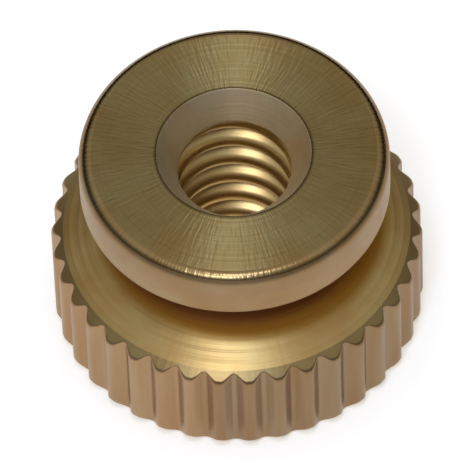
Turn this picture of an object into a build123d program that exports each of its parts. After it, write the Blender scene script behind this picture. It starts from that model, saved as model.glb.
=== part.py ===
from build123d import *
import math
import os

# A brass threaded insert, turned in one piece from round bar. A straight-knurled flange is the foot,
# a groove runs above it, a plain collar is the head, and a tapped hole goes right through.
# Millimetres and degrees, +Z up, with the origin at the middle of the foot.

# Knurled flange
knurl_diameter = 12.4        # over the crests of the teeth
knurl_teeth = 38
knurl_angle = 90             # between the two flanks of a groove
knurl_root_rounding = 0.15
knurl_crest_rounding = 0.3
knurl_crest_skim = 0.01      # what is turned off the crests after knurling, which leaves narrow lands
front_groove_turn = -2.65    # from -Y, towards +X, to the middle of the nearest groove
flange_height = 4.08         # foot to the shoulder's edge
bevel_width = 0.4            # on both edges; it cuts each tooth's end to a half-moon
upper_bevel_slope = 35       # below level
foot_bevel_slope = 45        # above level

# Shoulder and groove
shoulder_slope = 22          # below level
neck_diameter = 6.8
neck_length = 1.48
neck_rounding = 0.5
neck_rounding_share = 0.4    # the most that the rounding takes of the groove's length or depth

# Collar
collar_diameter = 10.3
collar_thickness = 1.86
collar_edge_break = 0.25
collar_under_rounding = 0.1

# Tapped hole, drawn at the minor diameter of its 24 per inch thread
thread_minor_diameter = 3.72
countersink_diameter = 5.12
countersink_angle = 70

# How far a cutter runs past what it cuts
cut_overrun = 0.5

knurl_radius = knurl_diameter / 2
neck_radius = neck_diameter / 2
collar_radius = collar_diameter / 2
bore_radius = thread_minor_diameter / 2
sink_radius = countersink_diameter / 2
sink_depth = (sink_radius - bore_radius) / math.tan(math.radians(countersink_angle / 2))

# Heights stack up from the foot
bevel_radius = knurl_radius - bevel_width
bevel_drop = bevel_width * math.tan(math.radians(upper_bevel_slope))
bevel_rise = bevel_width * math.tan(math.radians(foot_bevel_slope))
neck_bottom = flange_height + (bevel_radius - neck_radius) * math.tan(math.radians(shoulder_slope))
collar_bottom = neck_bottom + neck_length
total_height = collar_bottom + collar_thickness

# The groove's corners are rounded as far as its walls leave room
groove_depth = collar_radius - neck_radius
neck_corner = min(neck_rounding, neck_rounding_share * min(neck_length, groove_depth))


def turned_blank():
    """The insert before knurling: its half section, as corners with their roundings, turned about Z."""
    corners = [
        (bore_radius, sink_depth, 0),
        (sink_radius, 0, 0),
        (bevel_radius, 0, 0),
        (knurl_radius, bevel_rise, 0),
        (knurl_radius, flange_height - bevel_drop, 0),
        (bevel_radius, flange_height, 0),
        (neck_radius, neck_bottom, neck_corner),
        (neck_radius, collar_bottom, neck_corner),
        (collar_radius, collar_bottom, collar_under_rounding),
        (collar_radius, total_height - collar_edge_break, 0),
        (collar_radius - collar_edge_break, total_height, 0),
        (sink_radius, total_height, 0),
        (bore_radius, total_height - sink_depth, 0),
    ]
    points = [(radius, height) for radius, height, _ in corners]
    roundings = [rounding for _, _, rounding in corners]
    outline = FilletPolyline(*points, radius=roundings, close=True)
    return revolve(Plane.XZ * make_face(outline), Axis.Z)


def knurl_grooves():
    """All that the knurl takes off: a ring whose inside is a wave of rounded crests and roots."""
    half_turn = 180 / knurl_teeth
    groove_half_angle = math.radians(knurl_angle / 2)
    tooth_half_angle = groove_half_angle - math.radians(half_turn)
    crest_lift = knurl_crest_rounding * (1 / math.sin(tooth_half_angle) - 1)
    crest_corner = knurl_radius + knurl_crest_skim + crest_lift
    root_corner = crest_corner * math.sin(tooth_half_angle) / math.sin(groove_half_angle)
    points = []
    for step in range(2 * knurl_teeth):
        radius = root_corner if step % 2 == 0 else crest_corner
        turn = math.radians(front_groove_turn + step * half_turn)
        points.append((radius * math.sin(turn), -radius * math.cos(turn)))
    roundings = [knurl_root_rounding, knurl_crest_rounding] * knurl_teeth
    wave = make_face(FilletPolyline(*points, radius=roundings, close=True))
    ring = Circle(crest_corner + cut_overrun) - wave
    return Pos(0, 0, -cut_overrun) * extrude(ring, flange_height + 2 * cut_overrun)


insert_body = turned_blank() - knurl_grooves()

os.makedirs("parts", exist_ok=True)
export_step(insert_body, "parts/insert_body.step")
print("total height", round(total_height, 3), "bore wall", round(total_height - 2 * sink_depth, 3))
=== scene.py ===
import math

import bmesh
import bpy
import numpy as np
from mathutils import Matrix, Vector


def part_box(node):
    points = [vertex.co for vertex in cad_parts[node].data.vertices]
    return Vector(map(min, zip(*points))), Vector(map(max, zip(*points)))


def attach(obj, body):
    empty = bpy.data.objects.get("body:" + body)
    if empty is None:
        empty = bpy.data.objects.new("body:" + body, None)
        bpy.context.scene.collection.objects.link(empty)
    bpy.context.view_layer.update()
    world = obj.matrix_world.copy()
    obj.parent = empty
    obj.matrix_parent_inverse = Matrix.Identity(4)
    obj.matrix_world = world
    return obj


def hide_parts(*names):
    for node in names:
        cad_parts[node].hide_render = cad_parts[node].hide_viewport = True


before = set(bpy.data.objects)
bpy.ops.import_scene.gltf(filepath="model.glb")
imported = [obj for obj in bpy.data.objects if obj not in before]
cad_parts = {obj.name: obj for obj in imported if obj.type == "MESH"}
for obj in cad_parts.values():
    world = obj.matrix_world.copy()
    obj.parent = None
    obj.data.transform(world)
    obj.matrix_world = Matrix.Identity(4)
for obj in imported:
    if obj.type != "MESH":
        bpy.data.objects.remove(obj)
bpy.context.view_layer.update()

# Insert body
# The whole object is one piece of brass, turned from round bar: the bar is knurled, then grooved, faced and
# parted off, and last the hole is drilled, countersunk at both ends and tapped right through.
MM = 0.001
total_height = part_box("insert_body")[1].z

# Knurled flange, which is the foot. The nearest groove's turn is from -Y towards +X, and the skim is what is
# turned off the crests, which leaves narrow lands
knurl_radius = 6.2 * MM
knurl_teeth = 38
knurl_half_angle = math.radians(45)
root_rounding = 0.15 * MM
crest_rounding = 0.3 * MM
crest_skim = 0.01 * MM
crest_points = 4
front_groove_turn = math.radians(-2.65)
flange_height = 4.08 * MM
bevel_radius = 5.8 * MM
upper_bevel_slope = math.radians(35)
foot_bevel_slope = math.radians(45)
bevel_rounding = 0.22 * MM

# Shoulder, groove and collar
shoulder_slope = math.radians(22)
neck_radius = 3.4 * MM
neck_rounding = 0.5 * MM
collar_radius = 5.15 * MM
collar_thickness = 1.86 * MM
edge_break = 0.25 * MM
edge_break_rounding = 0.4 * MM
under_rounding = 0.1 * MM
edge_softness = 0.03 * MM

# Tapped hole. The crest's height is that of one at the back. The thread starts some way in from each end and
# gets its full depth along the run-out
thread_minor_radius = 1.86 * MM
thread_depth = 0.55 * MM
thread_pitch = 25.4 * MM / 24
thread_crest_rounding = 0.33 * MM
thread_half_angle = math.radians(30)
thread_crest_height = 6.14 * MM
thread_start = 0.98 * MM
thread_run_out = 0.4 * MM
sink_radius = 2.56 * MM
sink_half_angle = math.radians(35)
sink_rim_rounding = 0.012 * MM
burr_rounding = 0.03 * MM

# Rows of the mesh in the hole: how far they stand from a corner of the thread, how far below the rim they
# stop, and how many lie on half a crest's arc and on a flank. Points nearer than the weld are made one
corner_hold = 0.01 * MM
hole_margin = 0.05 * MM
thread_arc_rows = 5
thread_flank_rows = 6
weld_distance = 1e-4 * MM


def knurl_wave():
    """Turns round Z, from -Y towards +X, and the knurl's radius at each: where that ray leaves a tooth.

    A tooth has straight flanks, so by the sine rule a flank's radius is the crest corner times the sine of
    half the tooth's angle, over the sine of that angle plus the turn from the tooth's middle. The crest and
    the root are arcs that touch the flanks, and the crests are cut off at the turned radius.
    """
    half_turn = math.pi / knurl_teeth
    tooth_half_angle = knurl_half_angle - half_turn
    tooth_sine, root_sine = math.sin(tooth_half_angle), math.sin(knurl_half_angle)
    crest_corner = knurl_radius + crest_skim + crest_rounding * (1 / tooth_sine - 1)
    crest_centre = crest_corner - crest_rounding / tooth_sine
    root_centre = crest_corner * tooth_sine / root_sine + root_rounding / root_sine
    crest_edge = math.atan2(crest_rounding * math.cos(tooth_half_angle),
                            crest_centre + crest_rounding * tooth_sine)
    root_edge = math.atan2(root_rounding * math.cos(knurl_half_angle),
                           root_centre - root_rounding * root_sine)
    land_edge = math.acos((knurl_radius ** 2 + crest_centre ** 2 - crest_rounding ** 2)
                          / (2 * knurl_radius * crest_centre))
    crest_turns = half_turn - np.linspace(crest_edge, land_edge, crest_points)
    half_tooth = np.concatenate([[0, root_edge], crest_turns])
    tooth = np.concatenate([half_tooth, 2 * half_turn - half_tooth[:0:-1]])
    to_root = np.tile(np.minimum(tooth, 2 * half_turn - tooth), knurl_teeth)
    to_crest = half_turn - to_root
    flank = crest_corner * tooth_sine / np.sin(tooth_half_angle + to_crest)
    crest = crest_centre * np.cos(to_crest) + np.sqrt(
        np.maximum(crest_rounding ** 2 - (crest_centre * np.sin(to_crest)) ** 2, 0))
    root = root_centre * np.cos(to_root) - np.sqrt(
        np.maximum(root_rounding ** 2 - (root_centre * np.sin(to_root)) ** 2, 0))
    wave = np.where(to_root < root_edge, root, np.where(to_crest < crest_edge, crest, flank))
    turns = front_groove_turn + (np.arange(knurl_teeth)[:, None] * 2 * half_turn + tooth).ravel()
    return np.append(turns, turns[0] + 2 * math.pi), np.minimum(np.append(wave, wave[0]), knurl_radius)


def rounded_corner(before, corner, after, rounding, steps):
    """Rows of an arc that rounds one corner of the section, each row with its point at every turn.

    The arc's centre lies on the corner's bisector, at the rounding over the sine of half the corner's angle.
    From the middle the arc sweeps to both sides by a right angle less that half angle.
    """
    leg_in = (before - corner) / np.linalg.norm(before - corner, axis=-1, keepdims=True)
    leg_out = (after - corner) / np.linalg.norm(after - corner, axis=-1, keepdims=True)
    bisector = (leg_in + leg_out) / np.linalg.norm(leg_in + leg_out, axis=-1, keepdims=True)
    cosine = np.sum(leg_out * bisector, axis=-1, keepdims=True)
    sine = np.sqrt(1 - cosine ** 2)
    across = (leg_out - bisector * cosine) / sine
    sweep = np.linspace(-1, 1, steps + 1)[:, None, None] * (math.pi / 2 - np.arccos(cosine))
    centre = corner + bisector * rounding / sine
    return centre + rounding * (across * np.sin(sweep) - bisector * np.cos(sweep))


def thread_climb(turns):
    """Height that the thread gains from the back to each turn, to the right hand: one pitch a turn."""
    return thread_pitch * (turns - math.pi) / (2 * math.pi)


# Along the height from a crest: where its arc ends, how deep it is there, and where the flank meets the root
thread_arc_edge = thread_crest_rounding * math.cos(thread_half_angle)
thread_arc_rise = thread_crest_rounding * (1 - math.sin(thread_half_angle))
thread_root_edge = thread_arc_edge + (thread_depth - thread_arc_rise) * math.tan(thread_half_angle)


def hole_radius(turns, heights):
    """Radius of the hole at each height and turn, and whether a countersink is what cuts it there.

    The thread is a wave along the height that climbs one pitch in each turn, to the right hand: each crest
    is an arc, the flanks are straight and touch it, and the roots are narrow flats. It gets its full depth
    some way in from each end. Each countersink is a cone from its end of the hole. The hole is the wider of
    the two, with a soft step between them: half their sum plus half the root of their difference squared
    plus the burr's rounding squared.
    """
    place = heights - thread_crest_height - thread_climb(turns)
    from_crest = np.abs((place + thread_pitch / 2) % thread_pitch - thread_pitch / 2)
    arc = thread_crest_rounding - np.sqrt(
        thread_crest_rounding ** 2 - np.minimum(from_crest, thread_arc_edge) ** 2)
    flank = arc + np.maximum(from_crest - thread_arc_edge, 0) / math.tan(thread_half_angle)
    from_end = np.minimum(heights, total_height - heights)
    depth = thread_depth * np.clip((from_end - thread_start) / thread_run_out, 0, 1)
    thread = thread_minor_radius + np.minimum(flank, depth)
    sink = sink_radius - from_end * math.tan(sink_half_angle)
    apart = np.sqrt((thread - sink) ** 2 + burr_rounding ** 2)
    return (thread + sink + apart) / 2, sink > thread


# At the knurl's roots, which lie inside the bevels, only a soft edge is left of them
turns, knurl = knurl_wave()
edge_radius = np.minimum(bevel_radius, knurl - edge_softness)
edge_height = flange_height + (bevel_radius - edge_radius) * math.tan(shoulder_slope)
bevel_drop = (knurl - edge_radius) * math.tan(upper_bevel_slope)
bevel_rise = (knurl - edge_radius) * math.tan(foot_bevel_slope)
bevel_share = (knurl - edge_radius) / (knurl_radius - bevel_radius)
collar_bottom = total_height - collar_thickness
neck_bottom = flange_height + (bevel_radius - neck_radius) * math.tan(shoulder_slope)
sink_depth = (sink_radius - thread_minor_radius) / math.tan(sink_half_angle)

# Each corner of the half section, from the hole's rim on the foot, round the outside, to the rim on the
# collar: radius, height, rounding, steps of its arc, the arc's finish, and that of the run that follows
FACED, PLAIN, BURNISHED, BEVELLED, GROOVED, KNURLED, SUNK, TAPPED = range(8)
section = [
    (sink_radius, 0, edge_softness, 2, SUNK, FACED),
    (edge_radius, 0, 0, 0, FACED, BEVELLED),
    (knurl, bevel_rise, bevel_rounding * bevel_share, 3, KNURLED, KNURLED),
    (knurl, edge_height - bevel_drop, bevel_rounding * bevel_share, 4, KNURLED, BEVELLED),
    (edge_radius, edge_height, 0, 0, BEVELLED, GROOVED),
    (neck_radius, neck_bottom, neck_rounding, 9, GROOVED, GROOVED),
    (neck_radius, collar_bottom, neck_rounding, 9, GROOVED, GROOVED),
    (collar_radius, collar_bottom, under_rounding, 3, PLAIN, PLAIN),
    (collar_radius, total_height - edge_break, edge_break_rounding, 5, PLAIN, BURNISHED),
    (collar_radius - edge_break, total_height, edge_break_rounding, 6, BURNISHED, FACED),
    (sink_radius, total_height, sink_rim_rounding, 2, SUNK, SUNK),
]
sink_ends = [(thread_minor_radius, sink_depth), (thread_minor_radius, total_height - sink_depth)]


def section_point(radius, height):
    """One corner of the section as (radius, height) at every turn, also where both stay the same."""
    return np.stack(np.broadcast_arrays(radius, height, turns)[:2], axis=-1)


corners = [section_point(*sink_ends[0])]
corners += [section_point(radius, height) for radius, height, *_ in section]
corners += [section_point(*sink_ends[1])]
arcs = [
    rounded_corner(corners[i], corners[i + 1], corners[i + 2], section_point(rounding, 0)[:, :1], steps)
    for i, (_, _, rounding, steps, *_) in enumerate(section)
]

# Rows close beside each arc keep the runs between them flat in smooth shading
hold_shares = np.array([0.06, 0.94])[:, None, None]
rows, finishes = [], []
for arc, after, (_, _, _, steps, arc_finish, run_finish) in zip(arcs, arcs[1:], section):
    rows += [arc, arc[-1] + (after[0] - arc[-1]) * hold_shares]
    finishes += [arc_finish] * steps + [run_finish] * (len(hold_shares) + 1)
rows.append(arcs[-1])
finishes += [SUNK] * (len(arcs[-1]) - 1)
outside = np.concatenate(rows)

# Inside the hole every other turn is enough. The rows follow the thread, closest at its roots' corners, and
# stop at a level line near each rim
hole_turns = turns[::2]
hole_top = outside[-1, 0, 1] - hole_margin
hole_bottom = total_height - hole_top
half_rows = np.concatenate([
    np.linspace(0, thread_arc_edge, thread_arc_rows),
    np.linspace(thread_arc_edge + corner_hold, thread_root_edge - corner_hold, thread_flank_rows),
    [thread_root_edge + corner_hold],
])
pitch_rows = np.concatenate([half_rows, thread_pitch - half_rows[:0:-1]])
laps = np.arange(math.floor((hole_bottom - thread_crest_height) / thread_pitch) - 1,
                 math.ceil((hole_top - thread_crest_height) / thread_pitch) + 1)
places = thread_crest_height + (laps[:, None] * thread_pitch + pitch_rows).ravel()[::-1]
heights = np.clip(places[:, None] + thread_climb(hole_turns), hole_bottom, hole_top)
radii, sunk = hole_radius(hole_turns, heights)
hole = np.stack([radii, heights], axis=-1)


def turned_points(grid, turns):
    """Points of a grid of (radius, height), row by row, each column turned round Z by its own turn.

    X is the radius times the sine of the turn, and Y is minus the radius times its cosine.
    """
    return np.stack([grid[..., 0] * np.sin(turns), -grid[..., 0] * np.cos(turns), grid[..., 1]], axis=-1)


def grid_quads(first, rows, columns):
    """Quads between neighbouring rows and columns of points, as numbers of their points."""
    corner = first + np.arange(rows * columns).reshape(rows, columns)
    quads = [corner[:-1, :-1], corner[:-1, 1:], corner[1:, 1:], corner[1:, :-1]]
    return np.stack(quads, axis=-1).reshape(-1, 4)


# At each rim one face with five corners joins two steps of the outside to one step of the hole
hole_first = len(outside) * len(turns)
fine = np.arange(len(turns) - 1).reshape(-1, 2)
fine = np.column_stack([fine, fine[:, 0] + 2])
coarse = hole_first + np.arange(len(hole_turns) - 1)
collar_rim = np.column_stack([fine + hole_first - len(turns), coarse + 1, coarse])
coarse = coarse + (len(hole) - 1) * len(hole_turns)
foot_rim = np.column_stack([coarse, coarse + 1, fine[:, ::-1]])
points = np.concatenate([turned_points(outside, turns).reshape(-1, 3),
                         turned_points(hole, hole_turns).reshape(-1, 3)])
faces = [*grid_quads(0, len(outside), len(turns)), *grid_quads(hole_first, len(hole), len(hole_turns)),
         *collar_rim, *foot_rim]
face_finishes = np.concatenate([np.repeat(finishes, len(turns) - 1),
                                np.where(sunk[:-1, :-1], SUNK, TAPPED).ravel(),
                                np.full(2 * len(coarse), SUNK)])
mesh = bpy.data.meshes.new("insert")
mesh.from_pydata(points, [], faces)
mesh.polygons.foreach_set("material_index", face_finishes.astype(np.int32))

# Points that fall together, where the turn closes and where the rows meet the level lines, become one
weld = bmesh.new()
weld.from_mesh(mesh)
bmesh.ops.remove_doubles(weld, verts=weld.verts, dist=weld_distance)
weld.to_mesh(mesh)
weld.free()
mesh.shade_smooth()
insert = bpy.data.objects.new("insert", mesh)
bpy.context.collection.objects.link(insert)


def linear(colour):
    """Linear red, green and blue of an sRGB hex colour, with full alpha.

    A dark part is divided by 12.92. To any other 0.055 is added, and the sum over 1.055 is raised to 2.4.
    """
    parts = [int(colour[i:i + 2], 16) / 255 for i in (0, 2, 4)]
    return [c / 12.92 if c <= 0.04045 else ((c + 0.055) / 1.055) ** 2.4 for c in parts] + [1]


def add_node(tree, kind, inputs, **settings):
    """Adds a node with its settings; an input that is a socket is linked, and any other value is set."""
    node = tree.nodes.new(kind)
    for name, value in settings.items():
        setattr(node, name, value)
    for name, value in inputs.items():
        if isinstance(value, bpy.types.NodeSocket):
            tree.links.new(value, node.inputs[name])
        else:
            node.inputs[name].default_value = value
    return node


def new_finish(name):
    """A material with an empty node tree and its output node."""
    material = bpy.data.materials.new(name)
    material.use_nodes = True
    material.node_tree.nodes.clear()
    return material, material.node_tree, add_node(material.node_tree, "ShaderNodeOutputMaterial", {})


# All of it is one brass, dulled by age, and each tool leaves its own surface. The countersunk and tapped
# brass are also painted paler than the rest, as painted light that the deep hole lacks. In the order of the
# finishes
# above: name, colour, roughness, how far the ring marks draw out a highlight, and the depths of the feed
# marks and of the chatter
brass_finishes = (
    # An olive end face, with a fan of bright spokes to the front and one to the back
    ("faced brass", "9C8859", 0.48, 0.85, 0.014 * MM, 0.012 * MM),
    # A smooth tan wall
    ("plain turned brass", "977D5A", 0.42, 0.3, 0.003 * MM, 0),
    # A shiny edge, with a bright line in front and a dark one at the sides
    ("burnished brass", "907A52", 0.26, 0, 0.003 * MM, 0.012 * MM),
    # Half-moons with a soft shine
    ("bevelled brass", "AC9362", 0.38, 0.3, 0.006 * MM, 0.004 * MM),
    # A yellow shoulder, with fine rings in its highlight
    ("grooved brass", "BB9E65", 0.42, 0.6, 0.022 * MM, 0.002 * MM),
    # Even tan teeth, streaked along their length
    ("knurled brass", "957A59", 0.4, 0, 0, 0),
    # A pale cone, nearly matt, its colour painted paler as painted light for the dim hole
    ("countersunk brass", "C2AE88", 0.55, 0.5, 0.004 * MM, 0.004 * MM),
    # Bright flanks between brown crests, in a colour painted brighter as painted light for the dim hole
    ("tapped brass", "CFB47A", 0.36, 0, 0, 0),
)

# Tarnish lies in soft patches, browner where it is thick, and on the knurl in streaks along the teeth
patch_size = 2.5 * MM
patch_thick, patch_thin = 0.35, 0.65
thick_tint = (0.95, 0.85, 0.74)
thin_tint = (1.04, 1.09, 1.14)
knurl_stretch = (3, 3, 0.3)

# Feed marks are rings round the axis, and chatter is spokes across them. Real ones are finer than the picture
# can show, so both are drawn as coarse as they need to show. A quarter turn draws a highlight out across the
# rings
feed_spacing = 0.14 * MM
chatter_spokes = 44
chatter_length = 0.7 * MM
highlight_turn = 0.25

# Each finish keeps the nodes that its own marks, further down, start from
brass = {}
for name, colour, roughness, ring_marks, feed_marks, chatter in brass_finishes:
    material, tree, output = new_finish(name)
    place = add_node(tree, "ShaderNodeTexCoord", {})
    axes = add_node(tree, "ShaderNodeSeparateXYZ", {0: place.outputs["Object"]})
    flat = add_node(tree, "ShaderNodeVectorMath", {0: place.outputs["Object"], 1: (1, 1, 0)},
                    operation="MULTIPLY")
    radius = add_node(tree, "ShaderNodeVectorMath", {0: flat.outputs[0]}, operation="LENGTH")
    stretch = knurl_stretch if name == "knurled brass" else (1, 1, 1)
    stretched = add_node(tree, "ShaderNodeVectorMath", {0: place.outputs["Object"], 1: stretch},
                         operation="MULTIPLY")
    patches = add_node(tree, "ShaderNodeTexNoise", {"Vector": stretched.outputs[0], "Scale": 1 / patch_size,
                                                    "Detail": 3, "Roughness": 0.6})
    thinness = add_node(tree, "ShaderNodeMapRange", {"Value": patches.outputs["Fac"],
                                                     "From Min": patch_thick, "From Max": patch_thin})
    clean = np.array(linear(colour)[:3])
    dulled = add_node(tree, "ShaderNodeMix", {"Factor": thinness.outputs[0], 4: clean * thick_tint,
                                              5: clean * thin_tint}, data_type="VECTOR")
    round_axis = add_node(tree, "ShaderNodeTangent", {}, direction_type="RADIAL", axis="Z")
    shader = add_node(tree, "ShaderNodeBsdfPrincipled",
                      {"Base Color": dulled.outputs[1], "Metallic": 1, "Roughness": roughness,
                       "Anisotropic": ring_marks, "Anisotropic Rotation": highlight_turn,
                       "Tangent": round_axis.outputs[0]})
    if feed_marks:
        along = add_node(tree, "ShaderNodeMath", {0: radius.outputs["Value"], 1: axes.outputs["Z"]},
                         operation="ADD")
        rings = add_node(tree, "ShaderNodeTexNoise", {"W": along.outputs[0], "Scale": 1 / feed_spacing,
                                                      "Detail": 2}, noise_dimensions="1D")
        way_round = add_node(tree, "ShaderNodeVectorMath", {0: flat.outputs[0]}, operation="NORMALIZE")
        fan = add_node(tree, "ShaderNodeVectorMath", {0: way_round.outputs[0], 3: chatter_spokes},
                       operation="SCALE")
        reach = add_node(tree, "ShaderNodeMath", {0: along.outputs[0], 1: 1 / chatter_length},
                         operation="MULTIPLY")
        outward = add_node(tree, "ShaderNodeCombineXYZ", {"Z": reach.outputs[0]})
        spoke = add_node(tree, "ShaderNodeVectorMath", {0: fan.outputs[0], 1: outward.outputs[0]},
                         operation="ADD")
        spokes = add_node(tree, "ShaderNodeTexNoise", {"Vector": spoke.outputs[0], "Scale": 1, "Detail": 1})
        ring_depth = add_node(tree, "ShaderNodeMath", {0: rings.outputs["Fac"], 1: feed_marks},
                              operation="MULTIPLY")
        depth = add_node(tree, "ShaderNodeMath", {0: spokes.outputs["Fac"], 1: chatter,
                                                  2: ring_depth.outputs[0]}, operation="MULTIPLY_ADD")
        bump = add_node(tree, "ShaderNodeBump", {"Height": depth.outputs[0], "Distance": 1})
        tree.links.new(bump.outputs[0], shader.inputs["Normal"])
    tree.links.new(shader.outputs["BSDF"], output.inputs["Surface"])
    mesh.materials.append(material)
    brass[name] = tree, shader, axes, radius, dulled

# Some finishes are painted brighter along one axis: the knurl on its left, the collar's wall towards its
# bottom as painted light reflected up from the shoulder, and the countersink on its right as painted light.
# Each row: an axis, a start and an end along it, and the brightness at each
for name, axis, start, end, start_share, end_share in (
        ("knurled brass", "X", -1.7 * MM, -0.6 * MM, 1.3, 1),
        ("plain turned brass", "Z", 6.7 * MM, 8 * MM, 1.26, 1.05),
        ("countersunk brass", "X", 0.4 * MM, 2.2 * MM, 1, 1.3)):
    tree, shader, axes, radius, dulled = brass[name]
    share = add_node(tree, "ShaderNodeMapRange", {"Value": axes.outputs[axis], "From Min": start,
                                                  "From Max": end, "To Min": start_share,
                                                  "To Max": end_share})
    brightened = add_node(tree, "ShaderNodeVectorMath", {0: dulled.outputs[1], 3: share.outputs[0]},
                      operation="SCALE")
    tree.links.new(brightened.outputs[0], shader.inputs["Base Color"])

# Inside the groove the brass is matt, and its colour holds painted shade and painted reflection: dark brown
# shade at the neck under the collar, the orange of brass reflected in brass further out, and the plain colour
# on the shoulder, where the painted shade reaches a little further out to the right, as the collar's shadow
# does
neck_painted_shade, painted_brass_reflection = linear("A66D3C"), linear("C8963A")
painted_shade_radius, painted_reflection_radius = 4.05 * MM, 4.65 * MM
fully_painted_radius, plain_colour_radius = 4.5 * MM, 5.05 * MM
painted_shade_lean = 0.04
groove_roughness = 0.85
tree, shader, axes, radius, dulled = brass["grooved brass"]
lean = add_node(tree, "ShaderNodeMath", {0: axes.outputs["X"], 1: -painted_shade_lean, 2: radius.outputs["Value"]},
                operation="MULTIPLY_ADD")
out_of_painted_shade = add_node(tree, "ShaderNodeMapRange", {"Value": lean.outputs[0], "From Min": fully_painted_radius,
                                                 "From Max": plain_colour_radius}, interpolation_type="SMOOTHSTEP")
fading = add_node(tree, "ShaderNodeMapRange", {"Value": radius.outputs["Value"], "From Min": painted_shade_radius,
                                               "From Max": painted_reflection_radius}, interpolation_type="SMOOTHSTEP")
painted_shade_and_reflection = add_node(tree, "ShaderNodeMix", {"Factor": fading.outputs[0], 6: neck_painted_shade, 7: painted_brass_reflection},
                 data_type="RGBA")
painted_groove_colour = add_node(tree, "ShaderNodeMix", {"Factor": out_of_painted_shade.outputs[0], 6: painted_shade_and_reflection.outputs[2],
                                           7: dulled.outputs[1]}, data_type="RGBA")
matting = add_node(tree, "ShaderNodeMapRange", {"Value": out_of_painted_shade.outputs[0], "To Min": groove_roughness,
                                                "To Max": shader.inputs["Roughness"].default_value})
tree.links.new(painted_groove_colour.outputs[2], shader.inputs["Base Color"])
tree.links.new(matting.outputs[0], shader.inputs["Roughness"])

# A dark line of painted shade lies round the countersink's rim
painted_rim_shade = linear("5A4A2A")
rim_shade_inner, rim_shade_outer = sink_radius + 0.02 * MM, sink_radius + 0.14 * MM
tree, shader, axes, radius, dulled = brass["faced brass"]
fading = add_node(tree, "ShaderNodeMapRange", {"Value": radius.outputs["Value"], "From Min": rim_shade_inner,
                                               "From Max": rim_shade_outer}, interpolation_type="SMOOTHSTEP")
rim_shaded = add_node(tree, "ShaderNodeMix", {"Factor": fading.outputs[0], 6: painted_rim_shade, 7: dulled.outputs[1]},
                 data_type="RGBA")
tree.links.new(rim_shaded.outputs[2], shader.inputs["Base Color"])

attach(insert, "root")
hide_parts("insert_body")

# Floor
# A wide sheet of matt white card, flat under the insert. It glows a little to the eye and in reflections,
# which makes it white and leaves the insert's shadow.
floor_half_side = 600 * MM
floor_glow = 0.47
floor_mesh = bpy.data.meshes.new("floor")
floor_mesh.from_pydata([(x * floor_half_side, y * floor_half_side, 0) for x, y in
                        ((-1, -1), (1, -1), (1, 1), (-1, 1))], [], [(0, 1, 2, 3)])
floor = bpy.data.objects.new("floor", floor_mesh)
bpy.context.collection.objects.link(floor)
card, tree, output = new_finish("white card")
matt = add_node(tree, "ShaderNodeBsdfDiffuse", {"Color": linear("F4F4F4")})
ray = add_node(tree, "ShaderNodeLightPath", {})
shows = add_node(tree, "ShaderNodeMath", {0: ray.outputs["Is Camera Ray"], 1: ray.outputs["Is Glossy Ray"]},
                 operation="MAXIMUM")
shows = add_node(tree, "ShaderNodeMath", {0: shows.outputs[0], 1: ray.outputs["Is Transmission Ray"]},
                 operation="MAXIMUM")
strength = add_node(tree, "ShaderNodeMath", {0: shows.outputs[0], 1: floor_glow}, operation="MULTIPLY")
glow = add_node(tree, "ShaderNodeEmission", {"Color": linear("FFFAEE"), "Strength": strength.outputs[0]})
white = add_node(tree, "ShaderNodeAddShader", {0: matt.outputs[0], 1: glow.outputs[0]})
tree.links.new(white.outputs[0], output.inputs["Surface"])
floor_mesh.materials.append(card)

# Light
# Two compact lamps, one almost overhead and one further to the front, in a room that is brightest overhead,
# a little towards the back, and dim near the floor.
room_lean = 0.25
dim_below, bright_above = 0.5, 0.95
room_dim, room_bright = 0.15, 0.82
back_dimming = 0.25
world = bpy.data.worlds.new("room")
world.use_nodes = True
bpy.context.scene.world = world
tree = world.node_tree
tree.nodes.clear()
direction = add_node(tree, "ShaderNodeTexCoord", {})
sides = add_node(tree, "ShaderNodeSeparateXYZ", {0: direction.outputs["Generated"]})
upward = add_node(tree, "ShaderNodeMath", {0: sides.outputs["Y"], 1: room_lean, 2: sides.outputs["Z"]},
                  operation="MULTIPLY_ADD")
room = add_node(tree, "ShaderNodeMapRange", {"Value": upward.outputs[0], "From Min": dim_below,
                                             "From Max": bright_above, "To Min": room_dim,
                                             "To Max": room_bright}, interpolation_type="SMOOTHSTEP")
behind = add_node(tree, "ShaderNodeMath", {0: sides.outputs["Y"], 1: 0}, operation="MAXIMUM")
dimmed = add_node(tree, "ShaderNodeMath", {0: behind.outputs[0], 1: -back_dimming, 2: room.outputs[0]},
                  operation="MULTIPLY_ADD")
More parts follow.
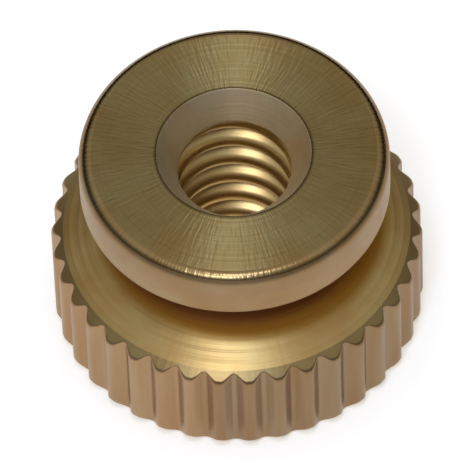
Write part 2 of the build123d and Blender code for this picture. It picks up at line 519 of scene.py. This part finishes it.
background = add_node(tree, "ShaderNodeBackground", {"Color": linear("FFFFFF"),
                                                     "Strength": dimmed.outputs[0]})
output = add_node(tree, "ShaderNodeOutputWorld", {"Surface": background.outputs[0]})

# Lamps, by name: radius, degrees above level in front, degrees aside to the right, and radiance. A lamp's
# power is its radiance times pi times its area
lamp_distance = 400 * MM
lamp_colour = linear("DCE6FF")[:3]
for name, lamp_radius, rise, aside, radiance in (("overhead", 36 * MM, 81, 0, 17.5),
                                                 ("front", 45 * MM, 61, -8, 20)):
    rise, aside = math.radians(rise), math.radians(aside)
    data = bpy.data.lights.new(name, "AREA")
    data.shape = "DISK"
    data.size = 2 * lamp_radius
    lamp_area = math.pi * lamp_radius ** 2
    data.energy = radiance * math.pi * lamp_area
    data.color = lamp_colour
    lamp = bpy.data.objects.new(name, data)
    towards = Vector((math.sin(aside), -math.cos(rise), math.sin(rise))).normalized()
    lamp.location = towards * lamp_distance
    lamp.rotation_euler = towards.to_track_quat("Z", "Y").to_euler()
    bpy.context.collection.objects.link(lamp)

# Camera
# It stands in front and looks down steeply, with the slight tilt that the picture has. Its focal length is in
# pixels of the picture.
picture_side = 474
camera_focal = 9289
camera_distance = 310 * MM
camera_elevation = math.radians(55.82)
camera_roll = math.radians(-2.109)
camera_aim = Vector((0, 0, 3.973 * MM))
camera_drop = 0.325 * MM
back = Vector((0, -math.cos(camera_elevation), math.sin(camera_elevation)))
level_right = Vector((1, 0, 0))
level_up = back.cross(level_right)
right = level_right * math.cos(camera_roll) + level_up * math.sin(camera_roll)
up = back.cross(right)
data = bpy.data.cameras.new("camera")
data.sensor_width = 36
data.lens = data.sensor_width * camera_focal / picture_side
data.clip_start, data.clip_end = camera_distance / 10, camera_distance * 10
camera = bpy.data.objects.new("camera", data)
stand = camera_aim + back * camera_distance - level_up * camera_drop
camera.matrix_world = Matrix.Translation(stand) @ Matrix((right, up, back)).transposed().to_4x4()
bpy.context.collection.objects.link(camera)
bpy.context.scene.camera = camera
bpy.context.scene.view_settings.view_transform = "Standard"
